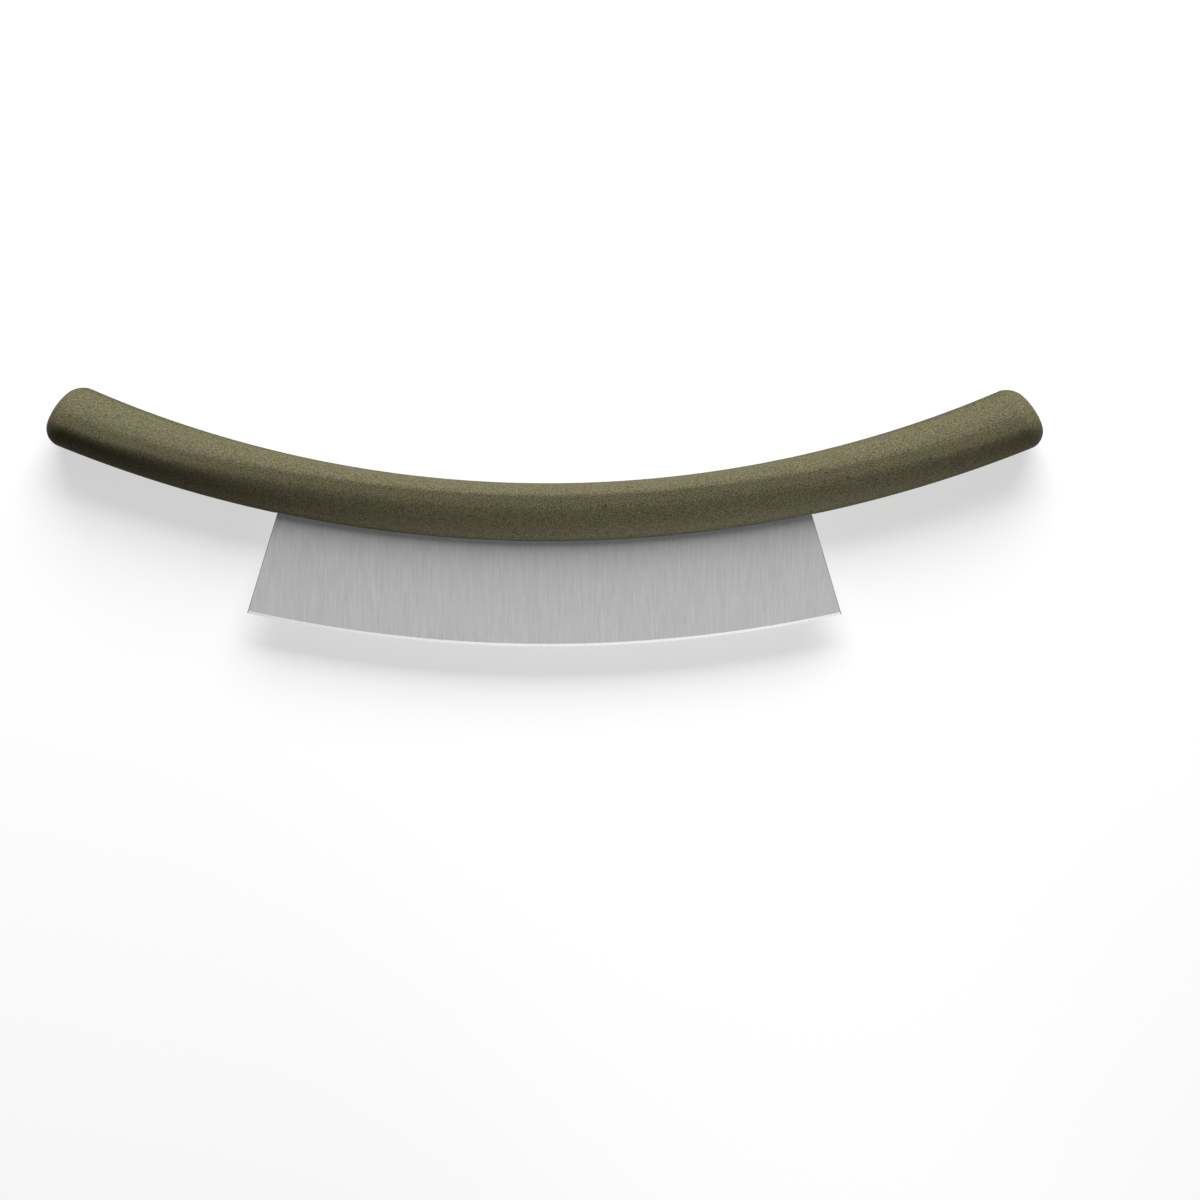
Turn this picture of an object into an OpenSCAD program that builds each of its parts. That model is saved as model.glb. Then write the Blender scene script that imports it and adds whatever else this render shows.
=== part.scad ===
// Mezzaluna: a long curved two-handed handle with a wide rocking blade.
// It lies on its back as in use at rest: X runs from grip to grip, Y from the
// cutting edge up to the grips, Z from the surface it rests on to the front.
// The origin is on the resting face, at the middle of the handle.

/* [Handle] */
// Length from tip to tip
handle_l = 385; // [340:1:420]
// Height at the middle, from the upper edge to the lower edge
handle_h = 22.6; // [20:0.2:26]
// Depth from the rear face to the front face
handle_d = 22; // [18:0.5:26]
// Radius of the arc along the upper edge
upper_r = 446.5; // [430:0.5:460]
// Radius of the arc along the lower edge
lower_r = 502; // [485:0.5:520]
// Width of the flat band on the rear that the handle rests on
rear_flat = 8; // [5:0.5:10]
// Width of the flat along the crown of the front
front_flat = 1.5; // [1:0.5:8]
// Where the thickest part lies at the middle, 0 at the upper edge, 1 at the lower
ridge_mid = 0.3; // [0.26:0.01:0.5]
// Where the thickest part lies at the grips, 0 at the upper edge, 1 at the lower
ridge_end = 0.6; // [0.4:0.01:0.66]
// Fullness of the section between its thickest part and the nearer edge, 2 is an ellipse
near_full = 1.6; // [1.4:0.05:2.4]
// Fullness of the section between its thickest part and the further edge
far_full = 1.45; // [1.4:0.05:2.4]
// How softly the section turns over its thickest part, 0 not at all
crest_ease = 0.15; // [0:0.05:0.3]

/* [Grip ends] */
// Length over which the corners of an end are rounded
corner_l = 5.5; // [3:0.5:10]
// How far the rounding draws in the upper edge
upper_corner = 5; // [3:0.5:8]
// How far the rounding draws in the lower edge
lower_corner = 6; // [3:0.5:7]
// How far the rounding draws in the front and rear faces
face_corner = 6.5; // [3:0.5:8]
// Radius of the crowned end face
end_r = 30; // [25:1:60]
// Height of the crown's top, 0 at the upper edge, 1 at the lower
crown_at = 0.68; // [0.5:0.01:0.75]

/* [Blade] */
// Thickness of the steel
blade_t = 1.2; // [1:0.1:1.6]
// Width of the blade, level with the lowest point of the handle
blade_w = 213; // [180:1:230]
// Height of steel that shows below the handle at the middle
blade_h = 40.5; // [30:0.5:60]
// Angle by which each side edge leans outward
side_lean = 16.7; // [5:0.1:22]
// Radius of the cutting edge
edge_r = 527.7; // [500:0.1:560]
// Width of the ground bevel along the cutting edge
bevel_w = 1; // [0.5:0.1:3]
// Thickness just behind the bevel, to which the blade tapers
behind_t = 0.6; // [0.4:0.1:1]
// Thickness left at the cutting edge
edge_t = 0.1; // [0.05:0.05:0.3]

/* [Tang] */
// How deep the full width of the blade goes into the handle
slot_in = 3; // [2:0.5:4]
// How deep the tang goes into the handle
tang_in = 15; // [13:0.5:16]
// Step from the side of the blade to the side of the tang
shoulder = 6; // [2:0.5:12]
// Play round the tang and the pins' ends
play = 0.2; // [0.1:0.05:0.4]

/* [Pins and dowels] */
// Radius of a pin through the tang
pin_r = 2; // [1.5:0.1:2.5]
// Length of a pin
pin_l = 12; // [8:0.5:14]
// Number of pins through the tang
pin_count = 6; // [3:1:8]
// Distance from the side of the tang to the outermost pin
pin_back = 5.4; // [4:0.2:20]
// Radius of a dowel in the grips
dowel_r = 2.5; // [2:0.1:3]
// Length of a dowel
dowel_l = 12; // [8:0.5:14]
// Distance from the tip of a grip to its outer dowel
dowel_back = 24; // [16:1:34]
// Distance between the two dowels of a grip
dowel_gap = 38; // [12:1:42]
// Radial fit of a pin or dowel in its bore
pin_fit = 0.02; // [0.01:0.01:0.1]

/* [Slot seal] */
// Thickness of the seal on each face of the blade
seal_t = 0.6; // [0.4:0.1:1]
// Height of the seal
seal_h = 1.2; // [0.8:0.1:1.8]
// How far the seal stays back from the lower edge of the handle
seal_back = 0.2; // [0.1:0.1:0.4]

/* [Hidden] */
PIN_NAMES = [for (i = [1:pin_count]) str("tang_pin_", i)];
DOWEL_NAMES = ["grip_dowel_left_outer", "grip_dowel_left_inner",
               "grip_dowel_right_inner", "grip_dowel_right_outer"];

olive = [0.40, 0.38, 0.30];
steel = [0.74, 0.74, 0.75];
dark_steel = [0.55, 0.55, 0.56];
pale_wood = [0.76, 0.62, 0.42];
grey_rubber = [0.16, 0.16, 0.15];

// Number of steps in each half of the handle, in each end and in each quarter
// of the section
body_steps = 26;
end_steps = 7;
quarter_steps = 8;
// Facets of the long arcs and of the small bores
arc_fn = 720;
bore_fn = 48;
// Length before an end over which the section turns to face the crown
turn_l = 50;
// Where the handle reaches furthest, 0 at the upper edge, 1 at the lower
tip_at = 0.8;

mid_z = handle_d / 2;
// The two edge arcs have centres this far above and below their middle
spread = (lower_r - upper_r - handle_h) / 2;
centre_y = spread + upper_r + ridge_mid * handle_h;
lower_y = centre_y + spread - lower_r;
mid_r = (upper_r + lower_r) / 2;
deg = 180 / PI;

// Distance from the middle centre to an edge, along the ray at angle a
function upper_at(a) = spread * cos(a) + sqrt(pow(upper_r, 2) - pow(spread * sin(a), 2));
function lower_at(a) = sqrt(pow(lower_r, 2) - pow(spread * sin(a), 2)) - spread * cos(a);
function between(a, t) = mix(upper_at(a), lower_at(a), t);
function mix(a, b, share) = a + (b - a) * share;
// A smooth step from 0 to 1
function ease(u) = let (c = min(1, max(0, u))) c * c * (3 - 2 * c);

// From 0 to 1 like its argument, but slow to leave 0
function eased_out(u) = let (e = crest_ease)
    sqrt(pow(u * (sqrt(1 + e * e) - e) + e, 2) - e * e);

rough_angle = asin(handle_l / 2 / mid_r);
tip_angle = asin(handle_l / 2 / between(rough_angle, tip_at));
tip_off = between(tip_angle, tip_at) - between(tip_angle, crown_at);
half_s = mid_r * tip_angle / deg + pow(tip_off, 2) / (2 * end_r);
body_s = half_s - corner_l;

// Stations along the handle, each a distance from the middle and the angle of
// the end rounding there
function end_station(side, k) =
    let (turn = 90 * k / end_steps) [side * (body_s + corner_l * sin(turn)), turn];
stations = concat(
    [for (k = [end_steps:-1:1]) end_station(-1, k)],
    [for (k = [-body_steps:body_steps]) [body_s * k / body_steps, 0]],
    [for (k = [1:end_steps]) end_station(1, k)]);
ring = 2 * quarter_steps + 2;
last = len(stations) - 1;

// One point of the half section: r along the ray, z out from the middle plane.
// Two quarters of a superellipse stand on either side of the flat band. The band is
// nearer the upper edge at the middle of the handle, and nearer the lower at the grips.
function section_point(station, j, flat_w) =
    let (a = station[0] / mid_r * deg,
         draw = 1 - cos(station[1]),
         share = pow(ease(abs(station[0]) / half_s), 2),
         up = upper_at(a) + upper_corner * draw,
         low = lower_at(a) - lower_corner * draw,
         ridge = up + (low - up) * mix(ridge_mid, ridge_end, share),
         half_band = flat_w / 2 * (low - up) / (lower_at(a) - upper_at(a)),
         is_upper = j <= quarter_steps,
         full = is_upper ? mix(near_full, far_full, share) : mix(far_full, near_full, share),
         turn = 90 * min(j, ring - 1 - j) / quarter_steps,
         out = eased_out(pow(cos(turn), 2 / full)),
         r = is_upper ? mix(ridge - half_band, up, out) : mix(ridge + half_band, low, out))
    [r, (mid_z - face_corner * draw) * pow(sin(turn), 2 / full)];

// A point of the section, moved back along the handle so that the end is crowned
function skin_point(station, r, z) =
    let (a = station[0] / mid_r * deg,
         share = ease((abs(station[0]) - half_s + turn_l) / turn_l),
         back = share * (pow(r - between(a, crown_at), 2) + z * z) / (2 * end_r),
         turned = (station[0] - sign(station[0]) * back) / mid_r * deg)
    [r * sin(turned), centre_y - r * cos(turned), z];

function skin_points(flat_w) = [for (station = stations) for (j = [0:ring - 1])
    let (p = section_point(station, j, flat_w)) skin_point(station, p[0], p[1])];
crown_points = [for (side = [-1, 1])
    let (a = half_s / mid_r * deg) skin_point([side * half_s, 90], between(a, crown_at), 0)];
first_crown = len(stations) * ring;

skin_faces = concat(
    [for (i = [0:last - 1]) for (j = [0:ring - 2]) each
        let (p = i * ring + j) [[p, p + ring, p + 1], [p + 1, p + ring, p + ring + 1]]],
    [for (i = [0:last - 1]) each
        let (p = i * ring, q = p + ring - 1) [[p, q, p + ring], [q, q + ring, p + ring]]],
    [for (j = [0:ring - 2]) [first_crown, j, j + 1]],
    [for (j = [0:ring - 2]) let (p = last * ring + j) [first_crown + 1, p + 1, p]],
    [[first_crown, ring - 1, 0],
     [first_crown + 1, last * ring, last * ring + ring - 1]]);

// Half of the handle, as a solid standing on its middle plane
module half_handle(flat_w) {
    polyhedron(points = concat(skin_points(flat_w), crown_points), faces = skin_faces,
               convexity = 6);
}

// A plate of thickness t about the middle plane, outside radius r of the lower edge's centre
module outside_arc(r, t) {
    translate([0, 0, mid_z - t / 2])
        difference() {
            translate([-handle_l, lower_y - 2 * blade_h, 0])
                cube([2 * handle_l, 2 * blade_h + 2 * handle_h, t]);
            translate([0, centre_y + spread, -1])
                cylinder(r = r, h = t + 2, $fn = arc_fn);
        }
}

// A prism between the two leaning sides of the blade, wider by grow on each side
module between_sides(t, grow) {
    reach = 2 * blade_h;
    top = lower_y + reach;
    bottom = lower_y - reach;
    half_w = blade_w / 2 + grow / cos(side_lean);
    widen = reach * tan(side_lean);
    translate([0, 0, mid_z - t / 2])
        linear_extrude(t)
            polygon([[-half_w + widen, top], [half_w - widen, top],
                     [half_w + widen, bottom], [-half_w - widen, bottom]]);
}

// The plate that the full width of the blade takes up, from depth in downward
module wide_plate(in, t, grow) {
    intersection() {
        outside_arc(lower_r - in, t);
        between_sides(t, grow);
    }
}

// The plate that the tang takes up
module tang_plate(in, t, grow) {
    intersection() {
        outside_arc(lower_r - in, t);
        between_sides(t, grow - shoulder);
    }
}

// The ground blade: a ring that tapers below the handle and ends in a bevel
module ground_ring() {
    taper_r = edge_r - blade_h;
    behind_r = edge_r - bevel_w;
    half_rim = [[edge_r / 2, blade_t / 2], [taper_r, blade_t / 2],
                [behind_r, behind_t / 2], [edge_r, edge_t / 2]];
    translate([0, lower_y - blade_h + edge_r, mid_z])
        rotate_extrude($fn = arc_fn)
            polygon(concat(half_rim, [for (i = [3:-1:0]) [half_rim[i][0], -half_rim[i][1]]]));
}

// The pins stand on an arc halfway down the tang. A side of the tang crosses it at
// the side's lean plus the angle whose sine is the side's distance from the arc's centre
// over the arc's radius.
pin_arc_r = lower_r - (slot_in + tang_in) / 2;
side_off = blade_w / 2 * cos(side_lean) - shoulder - lower_r * sin(side_lean);
pin_angle = side_lean + asin(side_off / pin_arc_r) - pin_back / pin_arc_r * deg;

// Places its children at angle a along that arc
module on_tang(a) {
    translate([0, centre_y + spread, 0])
        rotate([0, 0, a])
            translate([0, -pin_arc_r, 0])
                children();
}

// Places its children at distance s along the handle, halfway between its edges
module on_grip(s) {
    a = s / mid_r * deg;
    translate([0, centre_y, 0])
        rotate([0, 0, a])
            translate([0, -between(a, 0.5), 0])
                children();
}

// A rod of radius r and length l, centred on the middle plane
module cross_rod(r, l) {
    translate([0, 0, mid_z - l / 2])
        cylinder(r = r, h = l, $fn = bore_fn);
}

// From one outermost pin to the other in even steps
function pin_place(i) = (2 * i / (pin_count - 1) - 1) * pin_angle;
dowel_out = half_s - dowel_back;
dowel_in = dowel_out - dowel_gap;
dowel_places = [-dowel_out, -dowel_in, dowel_in, dowel_out];

module tang_pin(i) {
    color(dark_steel)
        on_tang(pin_place(i))
            cross_rod(pin_r, pin_l);
}

module grip_dowel(i) {
    color(pale_wood)
        on_grip(dowel_places[i])
            cross_rod(dowel_r, dowel_l);
}

// Everything that is cut from the two scales: the slot, the tang's pocket,
// the groove of the seal and the bores
module scale_cuts() {
    wide_plate(slot_in + play, blade_t, play);
    tang_plate(tang_in + play, blade_t, play);
    wide_plate(seal_back + seal_h, blade_t + 2 * seal_t, seal_t);
    for (i = [0:pin_count - 1])
        on_tang(pin_place(i))
            cross_rod(pin_r + pin_fit, pin_l + 2 * play);
    for (s = dowel_places)
        on_grip(s)
            cross_rod(dowel_r + pin_fit, dowel_l + 2 * play);
}

module rear_scale() {
    color(olive)
        difference() {
            translate([0, 0, mid_z])
                mirror([0, 0, 1])
                    half_handle(rear_flat);
            scale_cuts();
        }
}

module front_scale() {
    color(olive)
        difference() {
            translate([0, 0, mid_z])
                half_handle(front_flat);
            scale_cuts();
        }
}

module blade() {
    color(steel)
        difference() {
            intersection() {
                ground_ring();
                union() {
                    wide_plate(slot_in, blade_t, 0);
                    tang_plate(tang_in, blade_t, 0);
                }
            }
            for (i = [0:pin_count - 1])
                on_tang(pin_place(i))
                    cross_rod(pin_r + pin_fit, pin_l);
        }
}

module slot_seal() {
    color(grey_rubber)
        difference() {
            wide_plate(seal_back + seal_h, blade_t + 2 * seal_t, seal_t);
            outside_arc(lower_r - seal_back, handle_d);
            wide_plate(2 * (seal_back + seal_h), blade_t, 0);
        }
}

rear_scale();
front_scale();
blade();
slot_seal();
for (i = [0:pin_count - 1])
    tang_pin(i);
for (i = [0:3])
    grip_dowel(i);
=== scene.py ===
import math

import bpy
import bmesh
import numpy as np
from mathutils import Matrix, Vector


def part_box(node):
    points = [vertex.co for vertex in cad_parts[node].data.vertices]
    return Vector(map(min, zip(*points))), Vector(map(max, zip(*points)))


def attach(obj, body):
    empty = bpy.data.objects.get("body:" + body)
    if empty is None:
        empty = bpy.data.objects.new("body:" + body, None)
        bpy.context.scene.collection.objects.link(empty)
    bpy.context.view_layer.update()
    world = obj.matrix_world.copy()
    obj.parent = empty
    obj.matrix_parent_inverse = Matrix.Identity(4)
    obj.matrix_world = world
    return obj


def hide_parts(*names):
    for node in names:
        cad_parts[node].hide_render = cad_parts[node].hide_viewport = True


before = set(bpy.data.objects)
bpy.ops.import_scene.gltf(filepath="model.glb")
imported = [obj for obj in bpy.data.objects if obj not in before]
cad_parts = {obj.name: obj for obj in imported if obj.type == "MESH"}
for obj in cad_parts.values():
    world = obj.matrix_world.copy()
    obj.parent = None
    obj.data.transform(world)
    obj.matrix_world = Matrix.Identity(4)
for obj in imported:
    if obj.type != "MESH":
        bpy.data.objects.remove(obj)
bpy.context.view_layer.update()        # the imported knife: it stays where it is, and every piece below is fitted to it
print("frame loaded")

mergeDistance = 1e-7           # points closer than this become one

# The knife lies on its back: x from grip to grip, y from the cutting edge to the grips, z up. Metres.
handle = {
    "length": 0.385,
    "height": 0.0226,          # at the middle, from the upper edge to the lower edge
    "upperRadius": 0.4465,
    "lowerRadius": 0.5020,
    "rearFlat": 0.008,         # the band that it rests on
    "frontFlat": 0.0015,
    "ridgeMiddle": 0.30,       # the thickest part, 0 at the upper edge and 1 at the lower
    "ridgeEnd": 0.60,
    "ridgePower": 2,           # how late along the grip it moves from the one to the other
    "nearFull": 1.60,          # superellipse powers, from the thickest part to the nearer edge
    "farFull": 1.45,           # and to the further edge
    "crestEase": 0.15,         # how softly it turns over the thickest part
    "cornerLength": 0.0055,
    "upperCorner": 0.005,
    "lowerCorner": 0.006,
    "faceCorner": 0.0065,
    "endRadius": 0.030,        # the crowned end faces
    "crownAt": 0.68,
    "tipAt": 0.80,
    "turnLength": 0.05,
    "seamGroove": 0.00010,     # the hairline where the two halves meet
    "bodySteps": 400,
    "endSteps": 22,
    "capSteps": 12,
    "quarterSteps": 30,
    "hardAngle": 30,           # degrees from which an edge shows as a line
}

lowPoint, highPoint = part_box("front_scale")
middlePlane = lowPoint.z
halfDepth = highPoint.z - lowPoint.z

# Each edge of the handle is an arc. Their centres are this far above and below one middle centre.
spread = (handle["lowerRadius"] - handle["upperRadius"] - handle["height"]) / 2
middleRadius = (handle["upperRadius"] + handle["lowerRadius"]) / 2
centreY = spread + handle["upperRadius"] + handle["ridgeMiddle"] * handle["height"]
lowerY = centreY + spread - handle["lowerRadius"]


def upperEdge(angle):
    # distance along a ray from the middle centre to the upper arc: e cos a + root(R^2 - (e sin a)^2)
    return spread * np.cos(angle) + np.sqrt(handle["upperRadius"] ** 2 - (spread * np.sin(angle)) ** 2)


def lowerEdge(angle):
    # the same for the lower arc: root(R^2 - (e sin a)^2) - e cos a
    return np.sqrt(handle["lowerRadius"] ** 2 - (spread * np.sin(angle)) ** 2) - spread * np.cos(angle)


def between(angle, share):
    # a point between the edges: upper + share x (lower - upper)
    return upperEdge(angle) * (1 - share) + lowerEdge(angle) * share


def ease(value):
    # smooth step: 3c^2 - 2c^3, with c held between 0 and 1
    held = np.clip(value, 0.0, 1.0)
    return held * held * (3 - 2 * held)


def easedOut(out):
    # root((out (root(1 + e^2) - e) + e)^2 - e^2): still 0 to 1, but slow to leave 0
    e = handle["crestEase"]
    return np.sqrt((out * (math.sqrt(1 + e * e) - e) + e) ** 2 - e * e)


roughAngle = np.arcsin(handle["length"] / 2 / middleRadius)
tipAngle = np.arcsin(handle["length"] / 2 / between(roughAngle, handle["tipAt"]))
tipOff = between(tipAngle, handle["tipAt"]) - between(tipAngle, handle["crownAt"])
halfLength = middleRadius * tipAngle + tipOff ** 2 / (2 * handle["endRadius"])


def linkMesh(name, points, faces):
    # points is an array of n x 3 and faces one of m x 4. Doubles are merged and faces turned outward.
    mesh = bpy.data.meshes.new(name)
    mesh.from_pydata(points.tolist(), [], faces.tolist())
    work = bmesh.new()
    work.from_mesh(mesh)
    bmesh.ops.remove_doubles(work, verts=work.verts, dist=mergeDistance)
    bmesh.ops.delete(work, geom=[v for v in work.verts if not v.link_faces], context="VERTS")
    bmesh.ops.recalc_face_normals(work, faces=work.faces)
    work.to_mesh(mesh)
    work.free()
    piece = bpy.data.objects.new(name, mesh)
    bpy.context.scene.collection.objects.link(piece)
    return piece


def cutAway(piece, cutters):
    # exact Boolean differences, made part of the mesh
    for cutter in cutters:
        difference = piece.modifiers.new("cut", "BOOLEAN")
        difference.operation = "DIFFERENCE"
        difference.solver = "EXACT"
        difference.object = cutter
    graph = bpy.context.evaluated_depsgraph_get()
    plain = piece.data
    piece.data = bpy.data.meshes.new_from_object(piece.evaluated_get(graph))
    piece.modifiers.clear()
    bpy.data.meshes.remove(plain)


def smoothShade(piece, hardAngle):
    # faces shade into each other, except where they meet at more than so many degrees
    piece.data.shade_smooth()
    piece.data.set_sharp_from_angle(angle=math.radians(hardAngle))


def ringFaces(rowCount, ringCount):
    # quads between neighbouring rings, each ring closed on itself
    row, column = np.meshgrid(np.arange(rowCount - 1), np.arange(ringCount), indexing="ij")
    following = (column + 1) % ringCount
    first = row * ringCount
    quads = [first + column, first + ringCount + column, first + ringCount + following, first + following]
    return np.stack(quads, axis=-1).reshape(-1, 4)


def halfHandle(name, flatWidth, side):
    # Along the handle: even steps, then r sin t over each end, whose section draws in by 1 - cos t,
    # then rings that shrink to the crown's top. Across it: |u|^p + |v|^p = 1 on either side of a flat band.
    bodyLength = halfLength - handle["cornerLength"]
    endTurn = np.linspace(0, math.pi / 2, handle["endSteps"] + 1)[1:]
    endPlace = bodyLength + handle["cornerLength"] * np.sin(endTurn)
    shrink = np.linspace(1, 0, handle["capSteps"] + 1)[1:]
    capPlace = np.full(handle["capSteps"], halfLength)
    bodyPlace = np.linspace(-bodyLength, bodyLength, handle["bodySteps"])
    place = np.concatenate([-capPlace, -endPlace[::-1], bodyPlace, endPlace, capPlace])[:, None]
    turned = np.full(handle["capSteps"], math.pi / 2)
    endings = np.concatenate([turned, endTurn[::-1], np.zeros_like(bodyPlace), endTurn, turned])[:, None]
    whole = np.ones(2 * handle["endSteps"] + handle["bodySteps"])
    shrinks = np.concatenate([shrink[::-1], whole, shrink])[:, None]

    angle = place / middleRadius
    draw = 1 - np.cos(endings)
    share = ease(np.abs(place) / halfLength) ** handle["ridgePower"]
    up = upperEdge(angle) + handle["upperCorner"] * draw
    low = lowerEdge(angle) - handle["lowerCorner"] * draw
    ridge = up + (low - up) * (handle["ridgeMiddle"] * (1 - share) + handle["ridgeEnd"] * share)
    halfBand = flatWidth / 2 * (low - up) / (lowerEdge(angle) - upperEdge(angle))
    depth = halfDepth - handle["faceCorner"] * draw

    turn = np.linspace(0, math.pi / 2, handle["quarterSteps"] + 1)[None, :]
    upperPower = handle["nearFull"] * (1 - share) + handle["farFull"] * share
    lowerPower = handle["farFull"] * (1 - share) + handle["nearFull"] * share
    upperOut = easedOut(np.cos(turn) ** (2 / upperPower))
    lowerOut = easedOut(np.cos(turn[:, ::-1]) ** (2 / lowerPower))
    upperR = ridge - halfBand + upperOut * (up - ridge + halfBand)
    lowerR = ridge + halfBand + lowerOut * (low - ridge - halfBand)
    upperZ = np.sin(turn) ** (2 / upperPower)
    lowerZ = np.sin(turn[:, ::-1]) ** (2 / lowerPower)

    # the section stands a groove's depth off the seam, and one more point at each edge closes the groove
    groove = handle["seamGroove"]
    rise = groove + np.concatenate([upperZ, lowerZ], axis=1) * (depth - groove)
    radius = np.concatenate([up + groove, upperR, lowerR, low - groove], axis=1)
    height = np.concatenate([np.zeros_like(up), rise, np.zeros_like(up)], axis=1)

    crownR = between(angle, handle["crownAt"])
    radius = crownR + (radius - crownR) * shrinks
    height = height * shrinks
    facing = ease((np.abs(place) - halfLength + handle["turnLength"]) / handle["turnLength"])
    back = facing * ((radius - crownR) ** 2 + height ** 2) / (2 * handle["endRadius"])
    turnedAngle = (place - np.sign(place) * back) / middleRadius
    points = np.stack([radius * np.sin(turnedAngle), centreY - radius * np.cos(turnedAngle),
                       middlePlane + side * height], axis=-1)
    return linkMesh(name, points.reshape(-1, 3), ringFaces(*radius.shape))


# The blade: the sizes of the steel, its ground faces and its tang
blade = {
    "thickness": 0.0012,
    "width": 0.213,            # level with the lowest point of the handle
    "shown": 0.0405,           # steel below the handle at the middle
    "sideLean": 16.7,          # degrees
    "edgeRadius": 0.5277,
    "bevel": 0.001,
    "behindEdge": 0.0006,      # thickness just behind the bevel
    "edge": 0.0001,
    "slotDepth": 0.003,
    "tangDepth": 0.015,
    "shoulder": 0.006,
    "chamfer": 0.00030,
    "columns": 361,
    "tangRows": 9,
    "faceRows": 60,
    "bevelRows": 4,
    "cornerShare": 0.5,        # of the edge's thickness, left where the bevel meets the side
    "hardAngle": 6,            # degrees
}
sameShare = 1e-9               # shares of the width closer than this count as one
arcCentreY = centreY + spread
edgeCentreY = lowerY - blade["shown"] + blade["edgeRadius"]


def sideHit(grow, centre, radius):
    # where a side line meets an arc: |p + q d - c| = R, solved for q
    lean = math.radians(blade["sideLean"])
    start = np.array([blade["width"] / 2 + grow / math.cos(lean), lowerY])
    direction = np.array([math.sin(lean), -math.cos(lean)])
    toStart = start - np.array([0, centre])
    along = direction @ toStart
    reach = -along + math.sqrt(along ** 2 - toStart @ toStart + radius ** 2)
    return (start + reach * direction)[0]


def arcRows(radii, grow, shares):
    # rows of points on arcs about the lower edge's centre, each spread between the two side lines
    x = np.array([sideHit(grow, arcCentreY, radius) for radius in radii])[:, None] * shares
    return x, arcCentreY - np.sqrt(np.array(radii)[:, None] ** 2 - x ** 2)


def closedPlate(name, x, y, half, keep):
    # two faces at the middle plane +- half, and a rim wherever a kept cell has no kept neighbour
    points = np.concatenate([np.stack([x, y, middlePlane + half], axis=-1).reshape(-1, 3),
                             np.stack([x, y, middlePlane - half], axis=-1).reshape(-1, 3)])
    number = np.arange(x.size).reshape(x.shape)
    cells = np.stack([number[:-1, :-1], number[1:, :-1], number[1:, 1:], number[:-1, 1:]], axis=-1)[keep]
    padded = np.pad(keep, 1)
    rowPairs = np.stack([number[:, :-1], number[:, 1:]], axis=-1)[padded[1:, 1:-1] != padded[:-1, 1:-1]]
    columnPairs = np.stack([number[:-1, :], number[1:, :]], axis=-1)[padded[1:-1, 1:] != padded[1:-1, :-1]]
    pairs = np.concatenate([rowPairs, columnPairs])
    rims = np.stack([pairs[:, 0], pairs[:, 1], pairs[:, 1] + x.size, pairs[:, 0] + x.size], axis=-1)
    return linkMesh(name, points, np.concatenate([cells, cells + x.size, rims]))


def bladePiece(name):
    # Rows are arcs through the tang, then straight lines from the slot's arc to the cutting edge's arc.
    # The half thickness is a function of the distance from the cutting edge's centre.
    slotRadius = handle["lowerRadius"] - blade["slotDepth"]
    slotHalf = sideHit(0, arcCentreY, slotRadius)
    tangShare = sideHit(-blade["shoulder"], arcCentreY, slotRadius) / slotHalf
    edgeHalf = sideHit(0, edgeCentreY, blade["edgeRadius"])
    chamferShare = 1 - blade["chamfer"] / edgeHalf
    across = np.unique(np.concatenate([np.linspace(-1, 1, blade["columns"]),
                                       [-chamferShare, chamferShare, -tangShare, tangShare]]))
    tangRadii = np.linspace(handle["lowerRadius"] - blade["tangDepth"], slotRadius, blade["tangRows"])[:-1]
    tangX, tangY = arcRows(tangRadii, -blade["shoulder"], np.clip(across / tangShare, -1, 1))

    top = np.stack([across * slotHalf, arcCentreY - np.sqrt(slotRadius ** 2 - (across * slotHalf) ** 2)])
    foot = np.stack([across * edgeHalf,
                     edgeCentreY - np.sqrt(blade["edgeRadius"] ** 2 - (across * edgeHalf) ** 2)])
    line = foot - top
    fromCentre = top - np.array([[0], [edgeCentreY]])
    behindRadius = blade["edgeRadius"] - blade["bevel"]
    square = (line ** 2).sum(axis=0)
    slope = (line * fromCentre).sum(axis=0)
    rest = (fromCentre ** 2).sum(axis=0) - behindRadius ** 2
    bevelStart = (-slope + np.sqrt(slope ** 2 - square * rest)) / square
    faceDown = np.linspace(0, 1, blade["faceRows"])[:, None] * bevelStart
    bevelDown = bevelStart + np.linspace(0, 1, blade["bevelRows"])[1:, None] * (1 - bevelStart)
    down = np.concatenate([faceDown, bevelDown])
    x = np.concatenate([tangX, top[0] + down * line[0]])
    y = np.concatenate([tangY, top[1] + down * line[1]])

    half = np.interp(np.hypot(x, y - edgeCentreY),
                     [blade["edgeRadius"] - blade["shown"], behindRadius, blade["edgeRadius"]],
                     [blade["thickness"] / 2, blade["behindEdge"] / 2, blade["edge"] / 2])
    outer = np.abs(across) > chamferShare + sameShare
    half[:, outer] = np.maximum(half[:, outer] - blade["chamfer"], blade["edge"] / 2 * blade["cornerShare"])
    keep = np.ones((x.shape[0] - 1, x.shape[1] - 1), bool)
    keep[:blade["tangRows"] - 1, np.abs(across[:-1] + across[1:]) / 2 > tangShare] = False
    return closedPlate(name, x, y, half, keep)


def bladeFinish(piece):
    # For each face: 1 on the bevel, further than its start from the edge's centre, 2 within the chamfer
    # of a side line, and 0 elsewhere
    middles = np.empty(len(piece.data.polygons) * 3)
    piece.data.polygons.foreach_get("center", middles)
    x, y = middles[0::3], middles[1::3]
    lean = math.radians(blade["sideLean"])
    outward = (np.abs(x) - blade["width"] / 2) * math.cos(lean) + (y - lowerY) * math.sin(lean)
    onBevel = np.hypot(x, y - edgeCentreY) > blade["edgeRadius"] - blade["bevel"]
    return np.where(outward > -blade["chamfer"], 2, onBevel).astype(np.int32)


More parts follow.
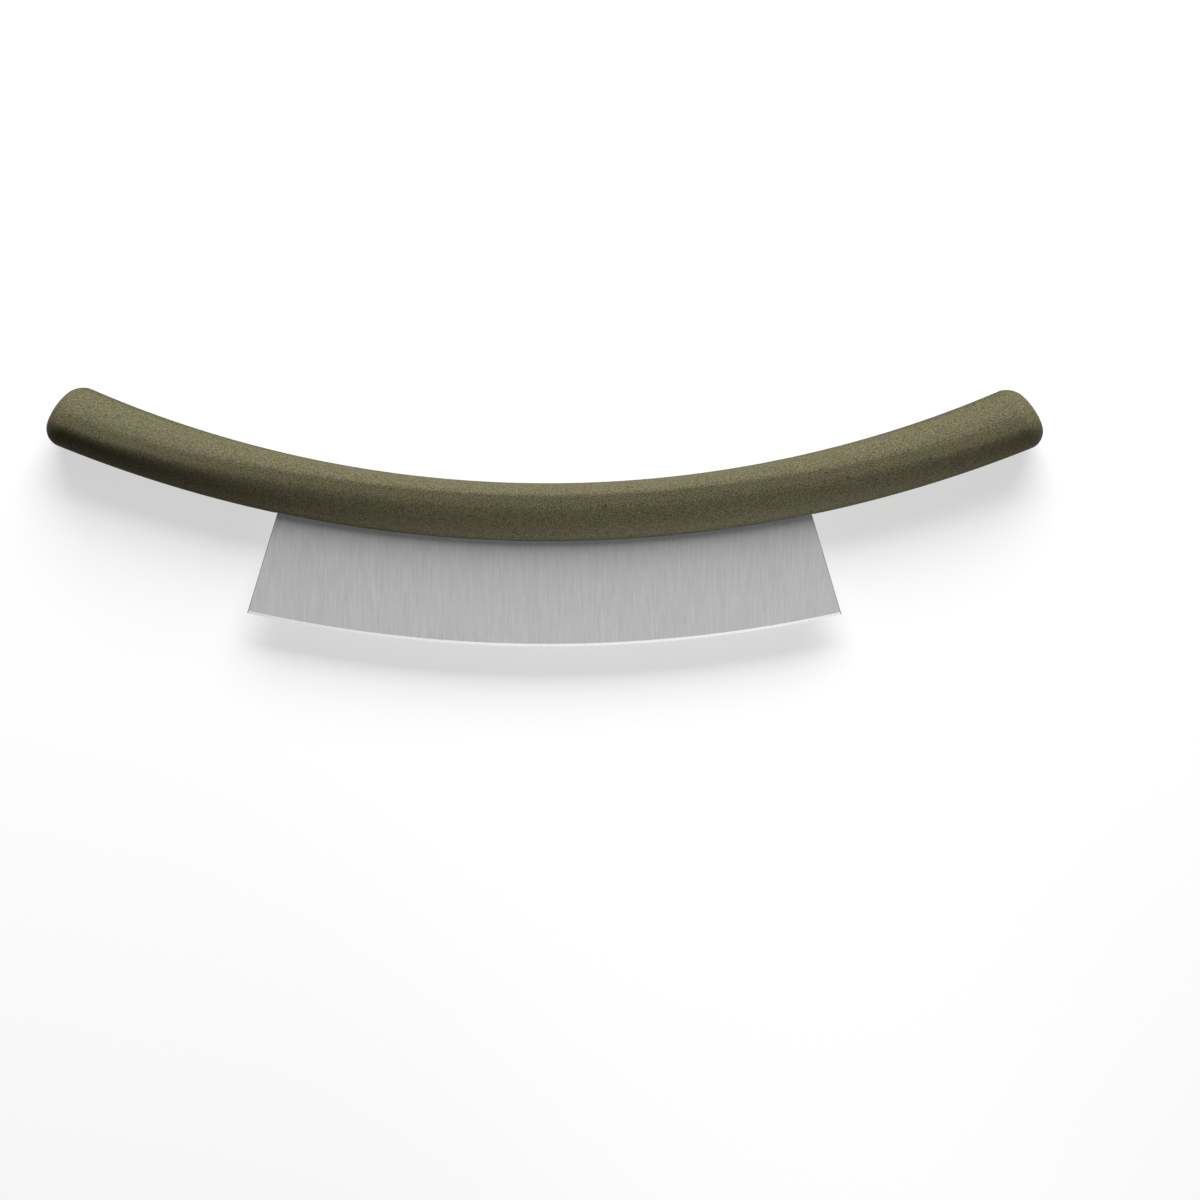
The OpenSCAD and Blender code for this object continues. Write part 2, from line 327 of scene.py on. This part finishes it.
# What is cut away inside: the slot and the tang's pocket, the seal's groove, and the bores
fittings = {
    "play": 0.0002,
    "slotFit": 0.00001,
    "sealThickness": 0.0006,
    "sealHeight": 0.0014,      # from the lower edge of the handle
    "pinRadius": 0.002,
    "dowelRadius": 0.0025,
    "rodLength": 0.012,
    "boreFit": 0.00002,
    "boreSteps": 48,
    "pinCount": 6,
    "pinBack": 0.0054,         # from the side of the tang to the outermost pin
    "dowelBack": 0.024,
    "dowelGap": 0.038,
    "cutterColumns": 121,
    "overrun": 0.002,          # how far a cutter reaches out of the handle
}


def pocketCutter():
    # the blade's outline inside the handle, grown by the play
    shares = np.linspace(-1, 1, fittings["cutterColumns"])
    deep = handle["lowerRadius"] - blade["slotDepth"] - fittings["play"]
    tangShare = (sideHit(fittings["play"] - blade["shoulder"], arcCentreY, deep)
                 / sideHit(fittings["play"], arcCentreY, deep))
    shares = np.unique(np.concatenate([shares, [-tangShare, tangShare]]))
    tangX, tangY = arcRows([handle["lowerRadius"] - blade["tangDepth"] - fittings["play"]],
                           fittings["play"] - blade["shoulder"], np.clip(shares / tangShare, -1, 1))
    slotX, slotY = arcRows([deep, handle["lowerRadius"] + fittings["overrun"]], fittings["play"], shares)
    x = np.concatenate([tangX, slotX])
    y = np.concatenate([tangY, slotY])
    keep = np.ones((2, len(shares) - 1), bool)
    keep[0, np.abs(shares[:-1] + shares[1:]) / 2 > tangShare] = False
    half = np.full(x.shape, blade["thickness"] / 2 + fittings["slotFit"])
    return closedPlate("pocketCutter", x, y, half, keep)


def sealCutter():
    # a shallow groove beside the blade, open at the lower edge
    radii = [handle["lowerRadius"] - fittings["sealHeight"], handle["lowerRadius"] + fittings["overrun"]]
    x, y = arcRows(radii, fittings["sealThickness"], np.linspace(-1, 1, fittings["cutterColumns"]))
    half = np.full(x.shape, blade["thickness"] / 2 + fittings["sealThickness"] + fittings["slotFit"])
    return closedPlate("sealCutter", x, y, half, np.ones((1, fittings["cutterColumns"] - 1), bool))


def rodCutter(name, places, radius, halfLength):
    # places is n x 2: (x, y) of each rod's axis. A ring at each end, and both rings closed by a fan.
    turn = np.linspace(0, 2 * math.pi, fittings["boreSteps"], endpoint=False)
    rim = np.stack([np.cos(turn), np.sin(turn)], axis=-1) * radius
    flat = places[:, None, None, :] + np.stack([rim * 0, rim, rim, rim * 0])[None]
    height = np.array([-halfLength, -halfLength, halfLength, halfLength])[None, :, None, None]
    high = np.broadcast_to(middlePlane + height, flat.shape[:3] + (1,))
    points = np.concatenate([flat, high], axis=-1).reshape(-1, 3)
    faces = ringFaces(4, fittings["boreSteps"])
    starts = np.arange(len(places))[:, None, None] * 4 * fittings["boreSteps"]
    return linkMesh(name, points, (faces[None] + starts).reshape(-1, 4))


def pinPlaces():
    # even steps along the arc halfway down the tang
    radius = handle["lowerRadius"] - (blade["slotDepth"] + blade["tangDepth"]) / 2
    tangHalf = sideHit(-blade["shoulder"], arcCentreY, radius)
    outermost = math.asin(tangHalf / radius) - fittings["pinBack"] / radius
    angle = np.linspace(-outermost, outermost, fittings["pinCount"])
    return np.stack([radius * np.sin(angle), arcCentreY - radius * np.cos(angle)], axis=-1)


def dowelPlaces():
    # two in each grip, halfway between the edges
    outer = halfLength - fittings["dowelBack"]
    inner = outer - fittings["dowelGap"]
    angle = np.array([-outer, -inner, inner, outer]) / middleRadius
    radius = between(angle, 0.5)
    return np.stack([radius * np.sin(angle), centreY - radius * np.cos(angle)], axis=-1)


# Node materials. The places are where the nodes stand in the editor.
def node(tree, kind, place, settings=None, values=None):
    # one node, with its properties and the values of its sockets
    made = tree.nodes.new(kind)
    made.location = place
    for key, value in (settings or {}).items():
        setattr(made, key, value)
    for key, value in (values or {}).items():
        made.inputs[key].default_value = value
    return made


def newMaterial(name):
    # a Principled shader and the coordinates that its patterns run on
    material = bpy.data.materials.new(name)
    material.use_nodes = True
    tree = material.node_tree
    shader = tree.nodes["Principled BSDF"]
    shader.location = (600, 0)
    tree.nodes["Material Output"].location = (900, 0)
    coordinates = node(tree, "ShaderNodeTexCoord", (-1400, 0))
    return material, tree, shader, coordinates


def ramp(tree, place, source, limits, lowColour, highColour):
    # from one colour at the lower limit to another at the upper
    made = node(tree, "ShaderNodeValToRGB", place)
    made.color_ramp.elements[0].position, made.color_ramp.elements[1].position = limits
    made.color_ramp.elements[0].color = (*lowColour, 1)
    made.color_ramp.elements[1].color = (*highColour, 1)
    tree.links.new(source, made.inputs["Fac"])
    return made.outputs["Color"]


def grey(value):
    # the same share of red, green and blue
    return (value, value, value)


def blendColour(tree, place, mode, factor, first, second):
    # first and second blended by the mode. Each of the three is a socket, a colour or a number.
    made = node(tree, "ShaderNodeMix", place, {"data_type": "RGBA", "blend_type": mode})
    for socket, value in ((made.inputs[0], factor), (made.inputs[6], first), (made.inputs[7], second)):
        if isinstance(value, bpy.types.NodeSocket):
            tree.links.new(value, socket)
        elif isinstance(value, tuple):
            socket.default_value = (*value, 1)
        else:
            socket.default_value = value
    return made.outputs[2]


def noise(tree, place, coordinates, grade, stretch=None):
    # grade is (cycles per metre, octaves, how much each octave keeps), and stretch multiplies x, y and z
    scale, detail, roughness = grade
    source = coordinates.outputs["Object"]
    if stretch:
        mapping = node(tree, "ShaderNodeMapping", (place[0] - 200, place[1]), None, {"Scale": stretch})
        tree.links.new(source, mapping.inputs["Vector"])
        source = mapping.outputs["Vector"]
    made = node(tree, "ShaderNodeTexNoise", place, None,
                {"Scale": scale, "Detail": detail, "Roughness": roughness})
    tree.links.new(source, made.inputs["Vector"])
    return made.outputs["Fac"]


def bump(tree, place, source, relief):
    # relief is (strength, height in metres)
    made = node(tree, "ShaderNodeBump", place, None, {"Strength": relief[0], "Distance": relief[1]})
    tree.links.new(source, made.inputs["Height"])
    return made.outputs["Normal"]


composite = {
    "brown": (0.0962, 0.0851, 0.0486),
    "green": (0.0918, 0.0861, 0.0480),
    # each noise: cycles per metre, octaves, how much each octave keeps
    "patch": (85, 2.0, 0.5),
    "grain": (2000, 2.0, 0.6),
    "clump": (600, 3.0, 0.65),
    "fleck": (1300, 1.0, 0.5),
    # where each noise starts and ends its change. For the seam it is metres from it.
    "patchLimits": (0.38, 0.62),
    "grainLimits": (0.34, 0.66),
    "clumpLimits": (0.30, 0.70),
    "fleckLimits": (0.30, 0.42),
    "seamLimits": (0.0008, 0.0030),
    # how much of the light comes back at the start and at the end
    "grainLight": (0.50, 1.53),
    "clumpLight": (0.91, 1.08),
    "fleckLight": (0.65, 1.0),
    "seamLight": (0.55, 1.0),      # painted shade: darker near the seam, where the halves turn away at the outline
    "roughness": (0.56, 0.70),
    "relief": (0.10, 0.0002),
    "specular": 0.05,
}


def seamDistance(tree, coordinates):
    # distance from the seam = |z - middle plane|
    axes = node(tree, "ShaderNodeSeparateXYZ", (-1100, -500))
    tree.links.new(coordinates.outputs["Object"], axes.inputs["Vector"])
    offSeam = node(tree, "ShaderNodeMath", (-900, -500), {"operation": "SUBTRACT"}, {1: middlePlane})
    tree.links.new(axes.outputs["Z"], offSeam.inputs[0])
    fromSeam = node(tree, "ShaderNodeMath", (-700, -500), {"operation": "ABSOLUTE"})
    tree.links.new(offSeam.outputs[0], fromSeam.inputs[0])
    return fromSeam.outputs[0]


def compositeMaterial():
    # colour = hue x grain x clump x fleck x painted shade near the seam
    material, tree, shader, coordinates = newMaterial("woodFibreComposite")
    patch = noise(tree, (-900, 500), coordinates, composite["patch"])
    colour = ramp(tree, (-600, 500), patch, composite["patchLimits"],
                  composite["brown"], composite["green"])
    sources = {
        "grain": noise(tree, (-900, 250), coordinates, composite["grain"]),
        "clump": noise(tree, (-900, 0), coordinates, composite["clump"]),
        "fleck": noise(tree, (-900, -250), coordinates, composite["fleck"]),
        # the seam's ramp is painted shade along the handle's outline
        "seam": seamDistance(tree, coordinates),
    }
    for step, (key, source) in enumerate(sources.items()):
        light = [grey(end) for end in composite[key + "Light"]]
        shade = ramp(tree, (-400, 250 - 250 * step), source, composite[key + "Limits"], *light)
        colour = blendColour(tree, (-100 + 170 * step, 300), "MULTIPLY", 1.0, colour, shade)
    tree.links.new(colour, shader.inputs["Base Color"])
    rough = ramp(tree, (200, -100), sources["clump"], composite["clumpLimits"],
                 *[grey(end) for end in composite["roughness"]])
    tree.links.new(rough, shader.inputs["Roughness"])
    tree.links.new(bump(tree, (300, -300), sources["grain"], composite["relief"]), shader.inputs["Normal"])
    shader.inputs["Specular IOR Level"].default_value = composite["specular"]
    return material


brushedSteel = {
    "colour": (0.51, 0.51, 0.51),
    "roughness": (0.86, 0.95),
    "streakScale": (1800, 90, 300),
    "fineScale": (3600, 200, 600),
    "contrast": 0.12,
    "metallic": 1.0,
}
# The ground bevel: ground steel that also shows the bevelCard, with a near-white colour that paints its highlight
groundSteelHighlight = {
    "colour": (0.96, 0.96, 0.96),
    "roughness": (0.26, 0.32),
    "streakScale": (5000, 200, 900),
    "fineScale": (9000, 400, 2000),
    "contrast": 0.04,
    "metallic": 0.5,           # half white diffuse: a painted highlight, so the bevel stays pale from every side
}
# The blade's cut sides: a rough cut finish, with a dark colour that paints the shade along each side
cutSteelShade = {
    "colour": (0.26, 0.26, 0.26),
    "roughness": (0.55, 0.70),
    "streakScale": (900, 900, 3000),
    "fineScale": (3000, 3000, 9000),
    "contrast": 0.15,
    "metallic": 1.0,
}
grinding = {
    # each noise: cycles per metre before its stretch, octaves, how much each octave keeps
    "streak": (1.0, 2.0, 0.5),
    "fine": (1.0, 1.0, 0.5),
    "fineShare": 0.45,             # of the fine noise in the two together
    "limits": (0.3, 0.7),
    "relief": (0.10, 0.00002),
}


def steelMaterial(name, steel):
    # two stretched noises give the streaks of the grinding: colour x (1 +- contrast)
    material, tree, shader, coordinates = newMaterial(name)
    streak = noise(tree, (-900, 300), coordinates, grinding["streak"], steel["streakScale"])
    fine = noise(tree, (-900, 0), coordinates, grinding["fine"], steel["fineScale"])
    both = blendColour(tree, (-600, 150), "MIX", grinding["fineShare"], streak, fine)
    shade = ramp(tree, (-350, 150), both, grinding["limits"],
                 grey(1 - steel["contrast"]), grey(1 + steel["contrast"]))
    colour = blendColour(tree, (0, 200), "MULTIPLY", 1.0, steel["colour"], shade)
    tree.links.new(colour, shader.inputs["Base Color"])
    rough = ramp(tree, (0, -100), both, grinding["limits"], *[grey(end) for end in steel["roughness"]])
    tree.links.new(rough, shader.inputs["Roughness"])
    tree.links.new(bump(tree, (300, -300), both, grinding["relief"]), shader.inputs["Normal"])
    shader.inputs["Metallic"].default_value = steel["metallic"]
    return material


def dress(piece, material):
    # the piece's only material
    piece.data.materials.clear()
    piece.data.materials.append(material)


handleMaterial = compositeMaterial()
bladeMaterial = steelMaterial("brushedSteel", brushedSteel)
bevelHighlightMaterial = steelMaterial("groundEdgeHighlight", groundSteelHighlight)
sideShadeMaterial = steelMaterial("cutSideShade", cutSteelShade)
print("materials made")

boreHalf = fittings["rodLength"] / 2 + fittings["play"]
pinBores = rodCutter("pinBores", pinPlaces(), fittings["pinRadius"] + fittings["boreFit"], boreHalf)
dowelBores = rodCutter("dowelBores", dowelPlaces(), fittings["dowelRadius"] + fittings["boreFit"], boreHalf)
pocket = pocketCutter()
groove = sealCutter()

frontHalf = halfHandle("handle_front", handle["frontFlat"], 1)
rearHalf = halfHandle("handle_rear", handle["rearFlat"], -1)
for piece, cadNode in ((frontHalf, "front_scale"), (rearHalf, "rear_scale")):
    cutAway(piece, [pocket, groove, pinBores, dowelBores])
    smoothShade(piece, handle["hardAngle"])
    dress(piece, handleMaterial)
    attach(piece, "root")
    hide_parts(cadNode)
print("handle made")

bladeBody = bladePiece("blade_steel")
cutAway(bladeBody, [pinBores])
smoothShade(bladeBody, blade["hardAngle"])
dress(bladeBody, bladeMaterial)
bladeBody.data.materials.append(bevelHighlightMaterial)
bladeBody.data.materials.append(sideShadeMaterial)
bladeBody.data.polygons.foreach_set("material_index", bladeFinish(bladeBody))
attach(bladeBody, "root")
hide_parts("blade")
for cutter in (pinBores, dowelBores, pocket, groove):
    bpy.data.objects.remove(cutter)
print("blade made")

# The fittings inside the handle keep their solids and get their own finishes
sealRubber = {
    "low": grey(0.020),
    "high": grey(0.034),
    "noise": (900, 3.0, 0.6),
    "stretch": None,
    "roughness": 0.6,
    "metallic": 0.0,
}
turnedSteel = {
    "low": grey(0.42),
    "high": grey(0.55),
    "noise": (1.0, 3.0, 0.6),
    "stretch": (300, 300, 9000),   # rings round the pin
    "roughness": 0.32,
    "metallic": 1.0,
}
beech = {
    "low": (0.50, 0.34, 0.19),
    "high": (0.66, 0.48, 0.29),
    "noise": (1.0, 3.0, 0.6),
    "stretch": (1800, 1800, 60),   # grain along the dowel
    "roughness": 0.6,
    "metallic": 0.0,
}
fittingNoise = {
    "limits": (0.3, 0.7),
    "relief": (0.1, 0.00005),
}


def fittingMaterial(name, finish):
    # one noise carries the colour from low to high
    material, tree, shader, coordinates = newMaterial(name)
    source = noise(tree, (-900, 200), coordinates, finish["noise"], finish["stretch"])
    colour = ramp(tree, (-400, 200), source, fittingNoise["limits"], finish["low"], finish["high"])
    tree.links.new(colour, shader.inputs["Base Color"])
    tree.links.new(bump(tree, (200, -300), source, fittingNoise["relief"]), shader.inputs["Normal"])
    shader.inputs["Roughness"].default_value = finish["roughness"]
    shader.inputs["Metallic"].default_value = finish["metallic"]
    return material


sealMaterial = fittingMaterial("sealRubber", sealRubber)
pinMaterial = fittingMaterial("turnedSteel", turnedSteel)
dowelMaterial = fittingMaterial("beech", beech)
for name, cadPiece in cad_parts.items():
    if name.startswith("tang_pin"):
        dress(cadPiece, pinMaterial)
    elif name.startswith("grip_dowel"):
        dress(cadPiece, dowelMaterial)
    elif name == "slot_seal":
        dress(cadPiece, sealMaterial)
print("fittings dressed")

studio = {
    "floorRadius": 7.0,
    "floorDrop": 0.0001,       # the paper lies this far below the face that the knife rests on
    "wallHeight": 3.5,
    "floorColour": 0.96,
    "floorGlow": 0.60,         # share of the floor that stays white under the shadow, near the knife
    "glowFrom": 0.40,          # it rises to all of the floor between these distances
    "glowTo": 1.30,
    "floorBounce": 0.08,       # the floor's grey, as it lights the knife
    "worldFill": 0.03,
    "bendLength": 1.0,         # how far the rim runs out while it turns up
    "roundSteps": 96,
    "flatSteps": 8,
    "bendSteps": 12,
    "hardAngle": 60,           # degrees
}
# Each light's direction: degrees from +y towards +x, and degrees above the floor
keyLight = {
    "power": 104.0,
    "size": (2.0, 1.2),
    "turn": 5.0,
    "rise": 30.0,
    "away": 2.0,
}
fillLight = {
    "power": 18.0,
    "size": (3.0, 1.6),
    "turn": 115.0,
    "rise": 20.0,
    "away": 4.0,
}
spotFill = {
    "power": 88.0,
    "radius": 0.06,
    "cone": 15.0,              # degrees
    "blend": 1.0,
    "turn": 164.0,
    "rise": 4.0,
    "away": 1.5,
    "aim": (0.035, 0.0, 0.0),
}
bevelCard = {
    "power": 2.4,
    "size": (1.2, 0.7),
    "turn": 180.0,
    "rise": 62.0,
    "away": 1.5,
    "onlyGloss": True,         # a reflector that only the steel shows
}


def seenRay(tree, place):
    # 1 for camera, glossy and transmission rays, 0 for the rest
    path = node(tree, "ShaderNodeLightPath", place)
    first = node(tree, "ShaderNodeMath", (place[0] + 200, place[1]), {"operation": "MAXIMUM"})
    both = node(tree, "ShaderNodeMath", (place[0] + 400, place[1]), {"operation": "MAXIMUM"})
    tree.links.new(path.outputs["Is Camera Ray"], first.inputs[0])
    tree.links.new(path.outputs["Is Glossy Ray"], first.inputs[1])
    tree.links.new(first.outputs[0], both.inputs[0])
    tree.links.new(path.outputs["Is Transmission Ray"], both.inputs[1])
    return both.outputs[0]


def seenAndOther(tree, seen, other):
    # camera, glossy and transmission rays get the first shader, the rest the second
    whole = node(tree, "ShaderNodeMixShader", (500, 0))
    tree.links.new(seenRay(tree, (-500, -300)), whole.inputs["Fac"])
    tree.links.new(other, whole.inputs[1])
    tree.links.new(seen, whole.inputs[2])
    return whole.outputs[0]


def floorMaterial():
    # white paper: it shows the shadow near the knife, and is plain white further out
    material = bpy.data.materials.new("palePaper")
    material.use_nodes = True
    tree = material.node_tree
    tree.nodes.remove(tree.nodes["Principled BSDF"])
    coordinates = node(tree, "ShaderNodeTexCoord", (-900, 300))
    away = node(tree, "ShaderNodeVectorMath", (-700, 300), {"operation": "LENGTH"})
    tree.links.new(coordinates.outputs["Object"], away.inputs[0])
    share = node(tree, "ShaderNodeMapRange", (-450, 300), {"interpolation_type": "SMOOTHSTEP"},
                 {"From Min": studio["glowFrom"], "From Max": studio["glowTo"],
                  "To Min": studio["floorGlow"], "To Max": 1.0})
    tree.links.new(away.outputs["Value"], share.inputs["Value"])
    paper = node(tree, "ShaderNodeBsdfDiffuse", (0, 200), None,
                 {"Color": (*grey(studio["floorColour"]), 1)})
    glow = node(tree, "ShaderNodeEmission", (0, 50), None, {"Strength": 1.0})
    bounce = node(tree, "ShaderNodeBsdfDiffuse", (0, -150), None,
                  {"Color": (*grey(studio["floorBounce"]), 1)})
    white = node(tree, "ShaderNodeMixShader", (250, 100))
    tree.links.new(share.outputs["Result"], white.inputs["Fac"])
    tree.links.new(paper.outputs[0], white.inputs[1])
    tree.links.new(glow.outputs[0], white.inputs[2])
    tree.links.new(seenAndOther(tree, white.outputs[0], bounce.outputs[0]),
                   tree.nodes["Material Output"].inputs["Surface"])
    return material


def makeFloor():
    # a round floor whose rim turns up into a wall: radius and height run along a quarter circle
    turn = np.linspace(0, 2 * math.pi, studio["roundSteps"], endpoint=False)[None, :]
    flat = np.linspace(0, studio["floorRadius"], studio["flatSteps"])
    bend = np.linspace(0, math.pi / 2, studio["bendSteps"])[1:]
    radius = np.concatenate([flat, studio["floorRadius"] + studio["bendLength"] * np.sin(bend)])[:, None]
    wall = np.concatenate([flat * 0, 1 - np.cos(bend)])[:, None] * studio["wallHeight"]
    height = wall - studio["floorDrop"]
    points = np.stack([radius * np.cos(turn), radius * np.sin(turn), height + 0 * turn], axis=-1)
    floor = linkMesh("floor", points.reshape(-1, 3), ringFaces(len(radius), turn.size))
    smoothShade(floor, studio["hardAngle"])
    dress(floor, floorMaterial())


def makeWorld():
    # an even white light from all round, of strength worldFill
    world = bpy.data.worlds.new("dimRoom")
    bpy.context.scene.world = world
    world.use_nodes = True
    fill = world.node_tree.nodes["Background"]
    fill.inputs["Color"].default_value = (1, 1, 1, 1)
    fill.inputs["Strength"].default_value = studio["worldFill"]


def aimAt(piece, place, target):
    # the object's -z axis looks from place to target
    piece.location = place
    direction = np.array(target, float) - np.array(place, float)
    flat = math.hypot(direction[0], direction[1])
    piece.rotation_euler = (math.atan2(flat, -direction[2]), 0, math.atan2(-direction[0], direction[1]))


def softLight(name, settings):
    # place = aim + away x (cos rise sin turn, cos rise cos turn, sin rise)
    if "cone" in settings:
        light = bpy.data.lights.new(name, "SPOT")
        light.spot_size = math.radians(settings["cone"])
        light.spot_blend = settings["blend"]
        light.shadow_soft_size = settings["radius"]
    else:
        light = bpy.data.lights.new(name, "AREA")
        light.shape = "RECTANGLE"
        light.size, light.size_y = settings["size"]
    light.energy = settings["power"]
    lamp = bpy.data.objects.new(name, light)
    bpy.context.scene.collection.objects.link(lamp)
    rise = math.radians(settings["rise"])
    turn = math.radians(settings["turn"])
    direction = np.array([math.cos(rise) * math.sin(turn), math.cos(rise) * math.cos(turn), math.sin(rise)])
    aim = np.array(settings.get("aim", (0.0, 0.0, 0.0)))
    aimAt(lamp, aim + direction * settings["away"], aim)
    lamp.visible_camera = False
    lamp.visible_diffuse = not settings.get("onlyGloss")


makeFloor()
makeWorld()
softLight("keyLight", keyLight)
softLight("fillLight", fillLight)
softLight("spotFill", spotFill)
softLight("bevelCard", bevelCard)
print("studio made")

# The photograph looks straight down. The upper edge's lowest point is at handlePixel in its frame.
view = {
    "frameSize": 1200,
    "metresPerPixel": 0.0003865,
    "handlePixel": (544.4, 483.3),
    "lens": 90.0,
    "sensor": 36.0,
    "roll": 0.14,              # degrees
}


def makeCamera():
    # distance = half the field over the tangent of half the lens's angle
    data = bpy.data.cameras.new("photoCamera")
    data.lens = view["lens"]
    data.sensor_width = view["sensor"]
    camera = bpy.data.objects.new("photoCamera", data)
    bpy.context.scene.collection.objects.link(camera)
    field = view["frameSize"] * view["metresPerPixel"]
    away = field * view["lens"] / view["sensor"]
    centre = view["frameSize"] / 2
    x = (centre - view["handlePixel"][0]) * view["metresPerPixel"]
    y = centreY - upperEdge(0) - (centre - view["handlePixel"][1]) * view["metresPerPixel"]
    camera.location = (x, y, middlePlane + away)
    camera.rotation_euler = (0, 0, math.radians(view["roll"]))
    bpy.context.scene.camera = camera


makeCamera()
bpy.context.scene.view_settings.view_transform = "Standard"
print("camera placed")
